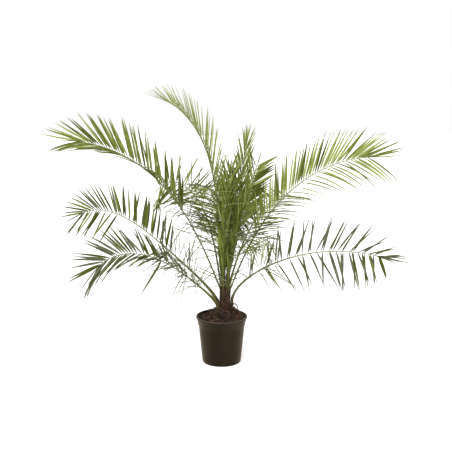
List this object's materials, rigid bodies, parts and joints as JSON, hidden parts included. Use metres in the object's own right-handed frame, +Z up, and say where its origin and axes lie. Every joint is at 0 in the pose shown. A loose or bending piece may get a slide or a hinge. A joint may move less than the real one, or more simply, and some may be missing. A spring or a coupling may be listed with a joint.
{
  "type": "potted canary island date palm",
  "caption": "Young feather palm in a black nursery container, with long arching fronds of folded leaflets on a short stem sheathed in fibre and old leaf bases.",
  "frame": {"origin": "centre of the container's flat underside, where it stands on the floor", "axes": "+Z up, +X to the viewer's right and +Y away from the viewer, looking at the front"},
  "size_m": [2.1182, 1.237, 1.6002],
  "materials": {
    "pot": "satin",
    "soil": "rough",
    "stem": "rough",
    "leaf": "satin"
  },
  "bodies": {
    "root": {"pot": "pot", "soil": "soil", "stem": "stem", "frond_left_long": "leaf", "frond_left_low_back": "leaf", "frond_left_low_front": "leaf", "frond_left_tall": "leaf", "frond_left_back": "leaf", "frond_right_long": "leaf", "frond_right_low": "leaf", "frond_right_drooping": "leaf", "frond_back_tall": "leaf", "frond_back_right": "leaf", "frond_back_left": "leaf", "frond_back_low_left": "leaf", "frond_back_low_right": "leaf", "frond_front_arching": "leaf", "frond_front_left": "leaf", "frond_front_right": "leaf", "spear_leaf": "leaf"}
  },
  "joints": []
}
